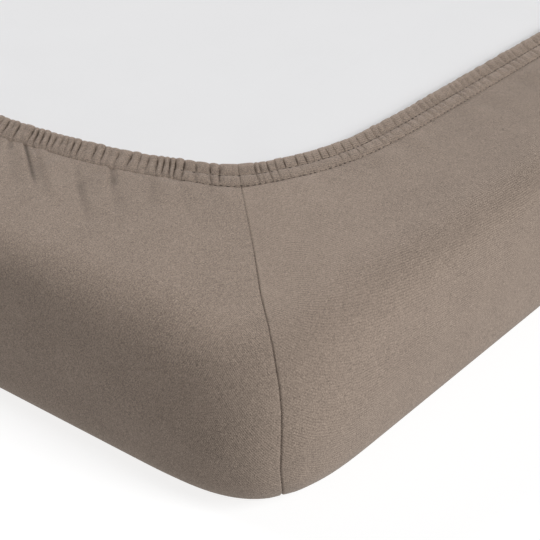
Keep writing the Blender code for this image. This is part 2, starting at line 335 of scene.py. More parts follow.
CAMERA_LENS = 104.27
CAMERA_PLACE = (-1.5591, -0.8958, 0.6201)
CAMERA_DOWN = 30.698
CAMERA_ROUND = 38.576


def between(value, low, high):
    """0 below low, 1 above high, and a soft step between them."""
    share = np.clip((value - low) / (high - low), 0, 1)
    return share * share * (3 - 2 * share)


def totals(steps):
    """Running totals, from 0."""
    return np.concatenate([[0.0], np.cumsum(steps)])


def looked_up(value, table):
    """A table's second column where its first one has this value."""
    return np.interp(value, *zip(*table))


def round_from(start, place):
    """How far round the outline places are from a start, from -2 to 2."""
    return (place - start + 2) % 4 - 2


def wander(place):
    """A slow, uneven wave round the hem, from -1 to 1, that repeats after the four sides."""
    turn = math.pi * place
    return 0.6 * np.sin(turn + 0.7) + 0.4 * np.sin(2.5 * turn + 2.0)


def corner_point(index, turn):
    """Points of the outline's corners and their outward angles, turned by degrees."""
    inside = 1e-4
    angle = np.radians(180 + 90 * index + np.clip(turn, inside, 90 - inside))
    cosine, sine = np.cos(angle), np.sin(angle)
    x = HALF_X - CORNER_REACH * (1 - np.abs(cosine) ** (2 / CORNER_POWER))
    y = HALF_Y - CORNER_REACH * (1 - np.abs(sine) ** (2 / CORNER_POWER))
    steep = 2 - 2 / CORNER_POWER
    out_x = np.copysign(np.abs(cosine) ** steep, cosine)
    out_y = np.copysign(np.abs(sine) ** steep, sine)
    return np.copysign(x, cosine), np.copysign(y, sine), np.arctan2(out_y, out_x)


def outline(place):
    """Points on the covered mattress's outline, and their outward angles."""
    index = np.floor(place + CORNER_PLACE)
    along = place + CORNER_PLACE - index
    corner_share = along / (2 * CORNER_PLACE)
    side_share = (along - 2 * CORNER_PLACE) / (1 - 2 * CORNER_PLACE)
    x, y, outward = corner_point(index, 90 * corner_share)
    first_x, first_y, _ = corner_point(index, 90.0)
    last_x, last_y, _ = corner_point(index + 1, 0.0)
    on_side = corner_share > 1
    x = np.where(on_side, first_x + (last_x - first_x) * side_share, x)
    y = np.where(on_side, first_y + (last_y - first_y) * side_share, y)
    square = np.radians(270 + 90 * index)
    return x, y, np.where(on_side, square, outward)


def corner_values(x, y, column):
    """A column of CORNERS, for the quarter of the mattress that each point is in."""
    front = np.where(x < 0, CORNERS[0][column], CORNERS[1][column])
    back = np.where(x < 0, CORNERS[3][column], CORNERS[2][column])
    return np.where(y < 0, front, back)


def outside_hem(x, y):
    """Above 0 outside the hem's curve, a rectangle with long soft corners."""
    reach_x = corner_values(x, y, 2)
    reach_y = corner_values(x, y, 3)
    past_x = np.abs(x) - (HALF_X - np.where(x < 0, *HEM_INSET_X) - reach_x)
    past_y = np.abs(y) - (HALF_Y - np.where(y < 0, *HEM_INSET_Y) - reach_y)
    share_x, share_y = np.maximum(0.0, past_x / reach_x), np.maximum(0.0, past_y / reach_y)
    return share_x**HEM_POWER + share_y**HEM_POWER - 1


def corner_drop(x, y, spread):
    """The corners' drops at points of the outline, fading out from each corner's middle."""
    total = np.zeros_like(x)
    for index, corner in enumerate(CORNERS):
        middle_x, middle_y, _ = corner_point(index, 45.0)
        away = np.hypot(x - middle_x, y - middle_y)
        total += corner[4] * np.exp(-((away / spread) ** 2))
    return total


class Cuts:
    """Upright cuts through the covered mattress at many places round it."""

    def __init__(self, place):
        self.place = np.asarray(place, float)
        self.x, self.y, outward = outline(self.place)
        target_x = np.clip(self.x, FAN_INSET - HALF_X, HALF_X - FAN_INSET)
        target_y = np.clip(self.y, FAN_INSET - HALF_Y, HALF_Y - FAN_INSET)
        size = np.hypot(target_x - self.x, target_y - self.y)
        self.in_x = (target_x - self.x) / size
        self.in_y = (target_y - self.y) / size
        # A cut that meets the outline at a slant is longer than one square to it
        square = -(self.in_x * np.cos(outward) + self.in_y * np.sin(outward))
        self.slant = 1 / square
        self.span = self.distance_to_hem(size) + HEM_WANDER * wander(self.place)
        round_first = round_from(0.0, self.place)
        self.span = self.span + MM * looked_up(round_first, EDGE_SHIFTS)
        self.hem_share = looked_up(round_first, HEM_SHARES)
        self.hem_width = LOWER_LINE * self.hem_share
        most = max(corner[4] for corner in CORNERS)
        wider = corner_drop(self.x, self.y, WIDER_SPREAD) / most
        self.edge_width = UPPER_WIDTH + CORNER_WIDTH_MORE * wider
        self.edge_start = UPPER_START - CORNER_START_LESS * wider
        self.edge_top = UPPER_TOP - corner_drop(self.x, self.y, PULL_SPREAD)

    def distance_to_hem(self, farthest):
        """How far along each cut the hem's curve is, found by halving."""
        near, far = np.zeros_like(farthest), farthest
        for _ in range(HALVINGS):
            middle = (near + far) / 2
            outside = outside_hem(self.x + self.in_x * middle, self.y + self.in_y * middle) > 0
            near, far = np.where(outside, middle, near), np.where(outside, far, middle)
        return near

    def points(self, along, height):
        x = self.x + self.in_x * along
        y = self.y + self.in_y * along
        return np.stack([x, y, np.broadcast_to(height, x.shape)], axis=-1)

    def top_height(self, along):
        start = self.edge_width * self.slant
        share = (along - start) / (self.span + CROWN_BEYOND_HEM - start)
        return self.edge_top + (CROWN - self.edge_top) * (1 - (1 - share) ** TOP_EASE)

    def lower(self, step):
        """A row of the lower rounding: how far along the cut, and its height."""
        turn = math.radians(90 * step)
        inset = LOWER_ROUND * (1 - math.sin(turn))
        return inset * self.slant, LOWER_ROUND * (1 - math.cos(turn))

    def side(self, step):
        bulge = BULGE * math.sin(math.pi * step)
        return -bulge * self.slant, LOWER_ROUND + (self.edge_start - LOWER_ROUND) * step

    def upper(self, step):
        """A row of the upper rounding, a cubic curve from the upright side to the top."""
        width, start, top = self.edge_width, self.edge_start, self.edge_top
        run = self.span + CROWN_BEYOND_HEM - width * self.slant
        slope = np.arctan(TOP_EASE * (CROWN - top) / run * self.slant)
        pull = UPPER_ROUNDNESS * width
        rest = 1 - step
        inset = 3 * step**2 * rest * (width - pull * np.cos(slope)) + step**3 * width
        lift = start + UPPER_ROUNDNESS * (top - start)
        before_top = top - pull * np.sin(slope)
        height = rest**3 * start + 3 * step * rest**2 * lift
        height = height + 3 * step**2 * rest * before_top + step**3 * top
        return inset * self.slant, height

    def top(self, step):
        """A row of the top between the rounding and the fine rows near the hem."""
        start = self.edge_width * self.slant
        along = start + (self.span - self.hem_width - NEAR_ROWS[0] - start) * step
        return along, self.top_height(along)

    def near_hem(self, from_line):
        along = self.span - self.hem_width - from_line
        return along, self.top_height(along)


# ---- Meshes from rings of points


class Skin:
    """Rings joined into a surface, where one may have a multiple of the next one's points."""

    def __init__(self):
        self.points = []
        self.faces = []
        self.count = 0

    def ring(self, points):
        self.points.append(points)
        self.count += len(points)
        return np.arange(self.count - len(points), self.count)

    def join(self, low, high):
        """Faces between two rings, where high is to the left of low, seen along them."""
        if len(low) == len(high):
            after_low, after_high = np.roll(low, -1), np.roll(high, -1)
            self.faces += np.stack([low, after_low, after_high, high], axis=1).tolist()
            return
        turned = len(high) < len(low)
        coarse, fine = (high, low) if turned else (low, high)
        ratio = len(fine) // len(coarse)
        for i in range(len(coarse)):
            ends = [coarse[i], coarse[(i + 1) % len(coarse)]]
            bits = [fine[(i * ratio + k) % len(fine)] for k in range(ratio, -1, -1)]
            face = [int(index) for index in ends + bits]
            self.faces.append(face[::-1] if turned else face)

    def cap(self, ring, turned=False):
        face = ring.tolist()
        self.faces.append(face[::-1] if turned else face)

    def close(self, rings):
        """Faces between all these rings, and over the first and the last."""
        self.cap(rings[0], turned=True)
        for low, high in zip(rings, rings[1:]):
            self.join(low, high)
        self.cap(rings[-1])

    def mesh(self, name):
        made = bpy.data.meshes.new(name)
        made.from_pydata(np.concatenate(self.points), [], self.faces)
        return made


def added(name, data):
    made = bpy.data.objects.new(name, data)
    bpy.context.scene.collection.objects.link(made)
    return made


def body_places():
    """The columns of the body's coarse rings: even along the outline, closer at each seam."""
    fine = np.linspace(-2 * CORNER_PLACE, 4 - 2 * CORNER_PLACE, OUTLINE_SAMPLES)
    x, y, _ = outline(fine)
    arc = totals(np.hypot(np.diff(x), np.diff(y)))
    middle = np.interp(SEAM_PLACES[0], fine, arc)
    away = (arc - middle + arc[-1] / 2) % arc[-1] - arc[-1] / 2
    close = (away > -CLOSE_COLUMNS_REACH[0]) & (away < CLOSE_COLUMNS_REACH[1])
    pitch = np.where(close, CLOSE_COLUMN_PITCH, COLUMN_PITCH)[1:]
    number = totals(np.diff(arc) / pitch)
    even = np.interp(np.linspace(0, number[-1], round(number[-1]) + 1)[:-1], number, arc)
    for seam in SEAM_PLACES:
        middle = np.interp(seam, fine, arc)
        even = even[np.abs(even - middle) > SEAM_COLUMNS[-1] * SEAM_CLEARANCE]
        beside = [side * away for away in SEAM_COLUMNS for side in (-1, 1)]
        even = np.concatenate([even, [middle], middle + np.array(beside)])
    return np.interp(np.sort(even), arc, fine)


def doubled(place):
    """The places with one more halfway between each two, round the loop."""
    after = np.append(place[1:], place[0] + 4)
    return np.stack([place, (place + after) / 2], axis=1).reshape(-1)


def body_rows():
    """(finer columns, kind, step) for each outer row of the body, going up."""
    rows = [(1, "lower", step) for step in LOWER_STEPS]
    rows += [(1, "side", step) for step in SIDE_STEPS]
    rows += [(1, "upper", step) for step in UPPER_STEPS]
    rows += [(2, "top", (step + TOP_ROW_SHIFT) / TOP_ROWS) for step in range(TOP_ROWS)]
    rows += [(4, "near_hem", away) for away in NEAR_ROWS]
    return rows


def girths(cuts):
    """How far up the cloth each row of the body lies, for each cut: one array a row."""
    up = np.zeros_like(cuts.x)
    found = [up]
    rows = [getattr(cuts, kind)(step) for _, kind, step in body_rows()]
    for before, after in zip(rows, rows[1:]):
        up = up + np.hypot(after[0] - before[0], after[1] - before[1])
        found.append(up)
    return found


def flat_place(cuts, up):
    """Where points up the cloth lie on the flat cut sheet, in metres."""
    edge, _ = cuts.lower(0.0)
    return cuts.points(edge - up, 0.0)[:, :2]


def strayed(place, up):
    """The columns' places, pushed aside near each seam where the seam strays."""
    moved = place.copy()
    for seam, stray in zip(SEAM_PLACES, SEAM_STRAYS):
        near = Cuts(np.array([seam - STRAY_PROBE, seam + STRAY_PROBE]))
        pace = 2 * STRAY_PROBE / np.hypot(near.x[1] - near.x[0], near.y[1] - near.y[0])
        aside = looked_up(up / MM, SEAM_PATH) * MM * stray
        away = round_from(seam, place) / pace
        moved += aside * pace * np.exp(-((away / SEAM_STRAY_REACH) ** 2))
    return moved


def beside_seam(place, points):
    """The signed distance of each point of a ring from the nearest seam's column."""
    found = np.full(len(place), 1.0)
    for seam in SEAM_PLACES:
        away = round_from(seam, place)
        column = np.argmin(np.abs(away))
        distance = np.linalg.norm(points - points[column], axis=1)
        near = distance < np.abs(found)
        found = np.where(near, np.copysign(distance, away), found)
    return found


def inside_rows(cuts, near_hem, gaps):
    """Rows of points inside the body's outer skin, from its bottom to the last near the hem.

    The gaps are how far inside they lie at the flat bottom, up the side and on the top.
    """
    rows = [cuts.lower(step) for step in INNER_LOWER]
    rows.append(cuts.side(0.5))
    rows += [cuts.upper(step) for step in INNER_UPPER]
    top_from = len(rows) - 1
    rows += [cuts.top(step) for step in INNER_TOP]
    rows += [cuts.near_hem(away) for away in near_hem]
    flat_gap, side_gap, top_gap = gaps
    found = [cuts.points(rows[0][0], flat_gap)]
    for i, row in enumerate(rows[1:], 1):
        before = rows[i - 1]
        after = rows[min(i + 1, len(rows) - 1)]
        run = (after[0] - before[0]) / cuts.slant
        rise = after[1] - before[1]
        size = np.hypot(run, rise)
        gap = top_gap if i >= top_from else side_gap
        along = row[0] + rise / size * gap * cuts.slant
        found.append(cuts.points(along, row[1] - run / size * gap))
    return found


class Body:
    """The closed skin of the body, and what is known of its outer points."""

    def __init__(self):
        coarse = body_places()
        half = doubled(coarse)
        places = {1: coarse, 2: half, 4: doubled(half)}
        nominal = girths(Cuts(SEAM_PLACES[:1]))
        self.skin = Skin()
        rings, found = [], []
        for (level, kind, step), up in zip(body_rows(), nominal):
            cuts = Cuts(strayed(places[level], up[0]))
            along, height = getattr(cuts, kind)(step)
            points = cuts.points(along, height)
            beside = beside_seam(places[level], points)
            from_line = cuts.span - cuts.hem_width - along
            flat = flat_place(cuts, girths(cuts)[len(rings)])
            rings.append(self.skin.ring(points))
            found.append((places[level], beside, from_line, flat))
        self.outer_count = self.skin.count
        self.place, self.beside, self.from_line, flat = map(np.concatenate, zip(*found))
        fine = Cuts(places[4])
        past, deep = BODY_LIP
        along, height = fine.near_hem(-past)
        rings.append(self.skin.ring(fine.points(along, height - deep)))
        inside = inside_rows(Cuts(coarse), INNER_NEAR_HEM, (CLOTH, CLOTH, CLOTH))
        rings += [self.skin.ring(points) for points in inside[::-1]]
        self.skin.close(rings)
        self.points = np.concatenate(self.skin.points)
        self.flat = self.points[:, :2].copy()
        self.flat[: self.outer_count] = flat


def fold_ends(fold):
    """A fold's start and end on the plan."""
    sides = np.array(CORNERS[fold[0]][:2])
    half = np.array([HALF_X, HALF_Y])
    return sides * (half - fold[1:3]), sides * (half - fold[3:5])


def fold_height(points):
    """How far the folds raise and sink points on the upper part of the body."""
    total = np.zeros(len(points))
    for fold in FOLDS:
        start, end = fold_ends(fold)
        run = end - start
        size = np.hypot(*run)
        away = points[:, :2] - start
        share = (away @ run) / size**2
        beside = (away[:, 0] * run[1] - away[:, 1] * run[0]) / size
        fade = np.clip((share + FOLD_BEGINS) / FOLD_GROWS, 0, 1)
        fade = fade * np.clip((FOLD_ENDS - share) / FOLD_FADES, 0, 1)
        fade = fade * fade * (3 - 2 * fade)
        trough, ridge, half_width = (value * MM for value in fold[5:])
        width = half_width * (FOLD_NARROW + FOLD_WIDENS * np.clip(share, 0, 1))
        low = np.exp(-((beside / width) ** 2))
        high = np.exp(-(((beside - RIDGE_AWAY * width) / (RIDGE_WIDE * width)) ** 2))
        total += fade * (ridge * high - trough * low)
    return np.where(points[:, 2] > UPPER_START - CORNER_START_LESS, total, 0.0)


def seam_strength(height):
    """How clearly a corner seam shows at these heights: less near the hem."""
    return 1 - SEAM_FAINTER * between(height, *SEAM_FAINTER_HEIGHTS)


def seam_height(body):
    """The groove of each corner seam, and the cloth drawn down a little beside it."""
    height = body.points[: body.outer_count, 2]
    wave = 1 + 0.35 * np.sin(height / (1.7 * MM)) + 0.3 * np.sin(height / (4.1 * MM) + 1.0)
    groove = SEAM_DEPTH * seam_strength(height) * np.exp(-((body.beside / SEAM_HALF) ** 2))
    drawn = SEAM_DRAWN * wave * np.exp(-((body.beside / SEAM_DRAWN_HALF) ** 2))
    return -groove - drawn


def ripple_height(body, plans):
    """The small ripples and wider soft wedges that run down the body from the gathers."""
    total = np.zeros(body.outer_count)
    beyond = np.maximum(body.from_line, 0.0)
    for plan in plans:
        local = (body.place - plan.place[0]) % 4 + plan.place[0]
        here = local <= plan.place[-1]
        gathered, wedge, sewn = plan.below(local[here], beyond[here])
        small = RIPPLE * gathered * np.exp(-beyond[here] / RIPPLE_REACH)
        wide = WEDGE * wedge * np.exp(-((beyond[here] / WEDGE_REACH) ** 2))
        wide *= between(beyond[here], 0.0, WEDGE_START)
        dip = SEWN_DIP * sewn * np.exp(-((beyond[here] / SEWN_DIP_REACH) ** 2))
        total[here] += plan.rippled * (wide - small) - dip
    return total


def add_values(mesh, name, values):
    """One number for each point of a mesh, for its finish to read."""
    made = mesh.attributes.new(name, "FLOAT", "POINT")
    made.data.foreach_set("value", values.astype(np.float32))


def finish_mesh(mesh, material, flat=None):
    """Smooth shading, the finish, and the flat cut sheet's places as a map of the mesh."""
    for polygon in mesh.polygons:
        polygon.use_smooth = True
    mesh.materials.append(material)
    if flat is None:
        return
    corner = np.empty(len(mesh.loops), np.int32)
    mesh.loops.foreach_get("vertex_index", corner)
    cut = mesh.uv_layers.new(name="cut")
    cut.data.foreach_set("uv", flat[corner].reshape(-1).astype(np.float32))


def build_body(plans, material):
    """The sheet's body, and the lines of its corner seams."""
    body = Body()
    mesh = body.skin.mesh("sheet_body")
    normals = np.empty(len(mesh.vertices) * 3, np.float32)
    mesh.vertex_normals.foreach_get("vector", normals)
    count = body.outer_count
    normals = normals.reshape(-1, 3).astype(float)[:count]
    outer = body.points[:count]
    folded = fold_height(outer)
    rippled = ripple_height(body, plans)
    lift = folded + rippled
    lift = np.where(lift < 0, MOST_SUNK * (np.exp(np.minimum(lift, 0) / MOST_SUNK) - 1), lift)
    lift += seam_height(body)
    lift = np.where(outer[:, 2] > FLAT_BELOW, lift, 0.0)
    body.points[:count] = outer + normals * lift[:, None]
    mesh.vertices.foreach_set("co", body.points.reshape(-1).astype(np.float32))
    seam_line_shade, painted_light_and_shade = np.zeros((2, len(body.points)))
    # The seam's dark line, in a thread colour: partly its own thread, partly painted shade of its
    # groove
    seam_line_shade[:count] = seam_strength(outer[:, 2]) * np.exp(-((body.beside / SEAM_LINE_AND_SHADE_HALF) ** 2))
    # Painted shade in the troughs of the folds, ripples and wedges
    painted_light_and_shade[:count] = np.clip(-(folded + RIPPLE_PAINTED_SHADE * rippled) / FULL_SHADE_TROUGH, 0, 1)
    # Painted light and shade on the upper part of the front panel
    tone = looked_up(body.place % 4, PANEL_PAINTED_LIGHT_AND_SHADE)
    painted_light_and_shade[:count] += tone * between(outer[:, 2], *PANEL_PAINTED_LIGHT_HEIGHTS)
    add_values(mesh, "seam_line_and_shade", seam_line_shade)
    add_values(mesh, "painted_light_and_shade", painted_light_and_shade)
    finish_mesh(mesh, material, body.flat)
    mesh.update()
    lines = []
    for seam in SEAM_PLACES:
        line = body.points[:count][np.abs(round_from(seam, body.place)) < 1e-9]
        lines.append(line[line[:, 2] > SEAM_STITCHES_FROM])
    return added("sheet_body", mesh), lines


# ---- The gathered hem


def pleat_edges(length, usual, chance, first=(), last=()):
    """Where a length's pleats meet, with the given widths, in mm, at its ends."""
    first = np.array(first) * MM
    last = np.array(last) * MM
    rest = length - first.sum() - last.sum()
    widths = usual * chance.uniform(*PLEAT_SPREAD, round(rest / usual))
    widths *= rest / widths.sum()
    return totals(np.concatenate([first, widths, last[::-1]]))


class HemPlan:
    """Where the pleats of one length of hem lie, and their sizes, for each column."""

    def __init__(self, index):
        self.side = list(HEM_MANNERS)[index]
        usual, unbroken, smooth, lean, self.rippled = HEM_MANNERS[self.side]
        chance = np.random.default_rng(FIRST_SEED + index)
        last_place = SEAM_PLACES[index + 1] if index < 3 else SEAM_PLACES[0] + 4
        self.place = np.linspace(SEAM_PLACES[index], last_place, HEM_SAMPLES)
        cuts = Cuts(self.place)
        line = cuts.points(cuts.span - MIDDLE_LINE, 0.0)
        self.arc = totals(np.linalg.norm(np.diff(line, axis=0), axis=1))
        first = PLEATS_TO_FRONT if self.side == "front" else ()
        last = PLEATS_TO_FOOT if self.side == "foot" else ()
        edges = pleat_edges(self.arc[-1], usual * MM, chance, first, last)
        widths = np.diff(edges)
        count = len(widths)
        each = len(PLEAT_STEPS)

        def columns(values):
            """A value for each pleat, repeated for its columns."""
            return np.append(np.repeat(values, each), values[-1])

        share = np.append(np.tile(PLEAT_STEPS, count), 0.0)
        width = columns(widths)
        self.at = np.append(np.repeat(edges[:-1], each) + share[:-1] * width[:-1], edges[-1])
        ends = np.minimum(self.at, self.arc[-1] - self.at)
        strong = chance.uniform(*STRONG_GAPS, count + 1)
        weak = chance.uniform(*WEAK_GAPS, count + 1)
        gap = np.where(chance.random(count + 1) < STRONG_GAP_SHARE, strong, weak)
        gap[[0, -1]] = END_GAP
        only_above = chance.random(count + 1) < ONLY_ABOVE_SHARE
        random_lean = chance.normal(0, LEAN_SPREAD, count + 1)
        self.puff = columns(chance.uniform(*PUFF_SPREAD, count))
        self.smooth = smooth * between(ends, *SMOOTH_STARTS) * (1 - between(ends, *SMOOTH_ENDS))
        self.unbroken = unbroken * between(ends, *UNBROKEN_STARTS)
        away = np.minimum(share, 1 - share) * width
        reach = LOBE_REACH + (FLAT_LOBE_REACH - LOBE_REACH) * self.smooth
        softness = between(ends, *UNBROKEN_STARTS) * (1 - self.smooth)
        lobe = np.sin(math.pi / 2 * np.minimum(away / np.minimum(width / 2, reach), 1))
        lobe = lobe ** (LOBE_POWER + SOFT_LOBE_POWER_MORE * softness)
        nearest = np.where(share < 0.5, columns(gap[:-1]), columns(gap[1:]))
        nearest[-1] = gap[-1]
        most, less, start, end = UNBROKEN_GATHER if unbroken else BROKEN_GATHER
        self.gathered = nearest * (1 - lobe) * (most - less * between(ends, start, end))
        held = np.where(share < 0.5, columns(only_above[:-1]), columns(only_above[1:]))
        self.low_share = 1 - ONLY_ABOVE_LESS * self.smooth * held
        towards = np.where(self.at < self.arc[-1] / 2, -1, 1) * between(ends, *LEAN_STARTS)
        wave = columns(random_lean[:-1]) * (1 - share) + columns(random_lean[1:]) * share
        self.lean = lean * towards + wave * np.clip(ends / RANDOM_LEAN_STARTS, 0, 1)
        knots = chance.normal(0, 1, round(self.arc[-1] / WEDGE_PITCH) + 2)
        table = np.arange(0, self.arc[-1], 1 * MM)
        rough = np.interp(table, np.arange(len(knots)) * WEDGE_PITCH, knots)
        bell = np.exp(-np.linspace(-2, 2, 17) ** 2)
        self.wedge = (table, np.convolve(rough, bell / bell.sum(), mode="same"))

    def cuts(self, from_edge):
        """The upright cuts through each column where it is this far from the hem's edge."""
        shifted = self.at + self.lean * (from_edge - MIDDLE_LINE)
        return Cuts(np.interp(shifted, self.arc, self.place))

    def below(self, place, beyond):
        """(gathers, wedges, sewing): their strength on the body beyond the lower line."""
        arc = np.interp(place, self.place, self.arc)
        run = LOWER_LINE - MIDDLE_LINE + np.minimum(beyond, LEAN_BEYOND)
        arc = arc - np.interp(arc, self.at, self.lean) * run
        gathered = np.interp(arc, self.at, self.gathered * self.low_share)
        sewn = 1 - np.interp(arc, self.at, self.unbroken)
        return gathered, np.interp(arc, *self.wedge), sewn

    def row(self, from_edge, height, unbroken, gather, scallop):
        """(the cuts, how far in, how high, how deep in a gap) of one row of the hem."""
        from_edge, height, unbroken = from_edge * MM, height * MM, unbroken * MM
        cuts = self.cuts(from_edge)
        low = between(from_edge, MIDDLE_LINE, MIDDLE_LINE + ONLY_ABOVE_REACH)
        gathered = self.gathered * (1 - (1 - self.low_share) * low)
        from_edge = from_edge * cuts.hem_share
        full = height + (unbroken - height) * self.unbroken
        if height > GATHER_FLOOR:
            puff = self.puff * (1 - SMOOTH_PUFF_LESS * self.smooth)
            full = GATHER_FLOOR + (full - GATHER_FLOOR) * puff
            full = full - (full - GATHER_FLOOR) * gathered * gather
        along = cuts.span - (from_edge + scallop * SCALLOP * self.gathered)
        high = cuts.top_height(cuts.span - from_edge) + full
        return cuts, along, high, gathered * gather


def build_hem(plan, material):
    """One length of hem between two corner seams, a closed skin with capped ends."""
    found = []
    before = None
    for values in HEM_ROWS:
        cuts, along, height, gap = plan.row(*values)
        # Painted light on the hem's crest near its inner edge
        painted_light = EDGE_PAINTED_LIGHT * math.exp(-((values[0] * MM / EDGE_PAINTED_LIGHT_REACH) ** 2))
        if before is None:
            up = girths(cuts)[-1]
        else:
            up = up + np.hypot(along - before[0], height - before[1])
        before = along, height
        # Painted shade in the pleats' gaps, less the painted light near the inner edge
        found.append((cuts.points(along, height), flat_place(cuts, up), GAP_PAINTED_SHADE * gap - painted_light))
    points, flat, painted_light_and_shade = (np.stack(rows, axis=1) for rows in zip(*found))
    skin = Skin()
    sections = [skin.ring(section) for section in points]
    for before, after in zip(sections, sections[1:]):
        skin.join(after, before)
    skin.cap(sections[0])
    skin.cap(sections[-1], turned=True)
    mesh = skin.mesh(f"hem_{plan.side}")
    add_values(mesh, "painted_light_and_shade", painted_light_and_shade.reshape(-1))
    finish_mesh(mesh, material, flat.reshape(-1, 2))
    return added(f"hem_{plan.side}", mesh)


# ---- Stitches


def smoothed(values, reach):
    """Each number averaged with those within reach places of it."""
    bell = np.hanning(2 * reach + 3)
    padded = np.pad(values, reach + 1, mode="edge")
    return np.convolve(padded, bell / bell.sum(), mode="valid")


def hem_stitch_lines(plan):
    """The paths of the two sewn lines of a length of hem."""
    found = []
    for number, lift in HEM_STITCH_LINES:
        cuts, along, height, _ = plan.row(*HEM_ROWS[number])
        ground = cuts.top_height(along)
        rise = smoothed(height - ground, STITCH_SMOOTHED) + lift - STITCH_SUNK * plan.unbroken
        found.append(cuts.points(along, ground + rise))
    return found


def stitch_tree():
    """Geometry nodes that lay short threads end to end along paths."""
    tree = bpy.data.node_groups.new("stitches_along_lines", "GeometryNodeTree")
    kinds = {"Lines": "Geometry", "Pitch": "Float", "Length": "Float", "Radius": "Float"}
    kinds |= {"Seed": "Int", "Thread": "Material", "Stitches": "Geometry"}
    for name, kind in kinds.items():
        way = "OUTPUT" if name == "Stitches" else "INPUT"
        tree.interface.new_socket(name, in_out=way, socket_type=f"NodeSocket{kind}")
    paint = Paint(tree)
    sockets = tree.nodes.new("NodeGroupInput").outputs
    given = {socket.name: Value(paint, socket) for socket in sockets}

    def step(kind, values, settings=None):
        return paint.node(f"GeometryNode{kind}", settings, values)

    curve = step("MeshToCurve", {"Mesh": given["Lines"]})
    even = step("ResampleCurve", {"Curve": curve, "Length": given["Pitch"]}, {"mode": "LENGTH"})
    thread = step("MeshUVSphere", {"Segments": 6, "Rings": 4, "Radius": 1.0})
    sizes = {"X": given["Length"] * 0.5, "Y": given["Radius"], "Z": given["Radius"]}
    size = paint.node("ShaderNodeCombineXYZ", values=sizes)
    thread = step("Transform", {"Geometry": thread, "Scale": size})
    thread = step("SetShadeSmooth", {"Geometry": thread})
    run = step("InputTangent", {})
    turned = paint.node("FunctionNodeAlignRotationToVector", {"axis": "X"}, {"Vector": run})
    chance = {2: STITCH_SPREAD[0], 3: STITCH_SPREAD[1], "Seed": given["Seed"]}
    uneven = paint.node("FunctionNodeRandomValue", {"data_type": "FLOAT"}, chance, output=1)
    places = {"Points": even, "Instance": thread, "Rotation": turned, "Scale": uneven}
    real = step("RealizeInstances", {"Geometry": step("InstanceOnPoints", places)})
    done = step("SetMaterial", {"Geometry": real, "Material": given["Thread"]})
    result = tree.nodes.new("NodeGroupOutput")
    tree.links.new(done.socket, result.inputs["Stitches"])
    return tree


def stitched(name, tree, lines, material, pitch, length, radius, seed):
    """A plain mesh of the stitches along these lines."""
    points = np.concatenate(lines)
    edges = []
    first = 0
    for line in lines:
        edges += [(first + i, first + i + 1) for i in range(len(line) - 1)]
        first += len(line)
    mesh = bpy.data.meshes.new(name)
    mesh.from_pydata(points, edges, [])
    path = added(name, mesh)
    maker = path.modifiers.new("stitches", "NODES")
    maker.node_group = tree
    values = {"Pitch": pitch, "Length": length, "Radius": radius, "Seed": seed, "Thread": material}
    for item in tree.interface.items_tree:
        if item.in_out == "INPUT" and item.name in values:
            maker[item.identifier] = values[item.name]
    ready = path.evaluated_get(bpy.context.evaluated_depsgraph_get())
    made = bpy.data.meshes.new_from_object(ready)
    path.modifiers.clear()
    path.data = made
    made.name = name
    return path


# ---- The mattress


def build_mattress(material):
    """The mattress, a little inside the cloth, with its bare underside flat."""
    cuts = Cuts(body_places())
    skin = Skin()
    gaps = (CLOTH + FACE_GAP, CLOTH + EDGE_GAP, CLOTH + TOP_GAP)
    rows = inside_rows(cuts, PAD_NEAR_HEM, gaps)
    middle = np.array([0.0, 0.0, CROWN - CLOTH - TOP_GAP])
    last = rows[-1]
    rows += [middle + (last - middle) * (share, share, 0.0) for share in PAD_MIDDLE]
    skin.close([skin.ring(points) for points in rows])
    mesh = skin.mesh("mattress_pad")
    finish_mesh(mesh, material)
    return added("mattress_pad", mesh)


# ---- Finishes


class Value:
    """A node's socket, so that shader maths reads as plain maths."""

    def __init__(self, paint, socket):
        self.paint = paint
        self.socket = socket

    def __add__(self, other):
        return self.paint.maths("ADD", self, other)

    def __sub__(self, other):
        return self.paint.maths("SUBTRACT", self, other)

    def __rsub__(self, other):
        return self.paint.maths("SUBTRACT", other, self)

    def __mul__(self, other):
        return self.paint.maths("MULTIPLY", self, other)

    def __gt__(self, other):
        return self.paint.maths("GREATER_THAN", self, other)

    __radd__ = __add__


class Paint:
    """Adds nodes to a tree, by their type, settings and sockets' values."""

    def __init__(self, tree):
        self.tree = tree

    def node(self, kind, settings=None, values=None, output=0):
        made = self.tree.nodes.new(kind)
        for name, setting in (settings or {}).items():
            setattr(made, name, setting)
        self.fill(made, values or {})
        return Value(self, made.outputs[output])

    def fill(self, node, values):
        """A node's inputs, each linked to a value or set to a constant."""
        for name, value in values.items():
            if isinstance(value, Value):
                self.tree.links.new(value.socket, node.inputs[name])
            else:
                node.inputs[name].default_value = value

    def maths(self, operation, *values):
        return self.node("ShaderNodeMath", {"operation": operation}, dict(enumerate(values)))

    def part(self, vector, axis):
        """One part of a vector: X, Y or Z."""
        return self.node("ShaderNodeSeparateXYZ", values={"Vector": vector}, output=axis)

    def values_of(self, name):
        """The numbers that the mesh carries under this name."""
        return self.node("ShaderNodeAttribute", {"attribute_name": name}, output="Fac")

    def bump(self, strength, distance, height):
        values = {"Strength": strength, "Distance": distance, "Height": height}
        return self.node("ShaderNodeBump", values=values)

    def mixed(self, share, first, second):
        """From one colour to another."""
        values = {0: share, 6: first, 7: second}
        return self.node("ShaderNodeMix", {"data_type": "RGBA"}, values, output=2)

    def noise(self, where, size, detail=2.0, rough=0.5):
        """Soft random lumps of about this size in metres, from 0 to 1."""
        values = {"Vector": where, "Scale": 1 / size, "Detail": detail, "Roughness": rough}
        return self.node("ShaderNodeTexNoise", values=values)

    def over(self, value, low, high):
        """0 where the value is below low, 1 where it is above high."""
        return self.node("ShaderNodeMapRange", values={"Value": value, 1: low, 2: high})


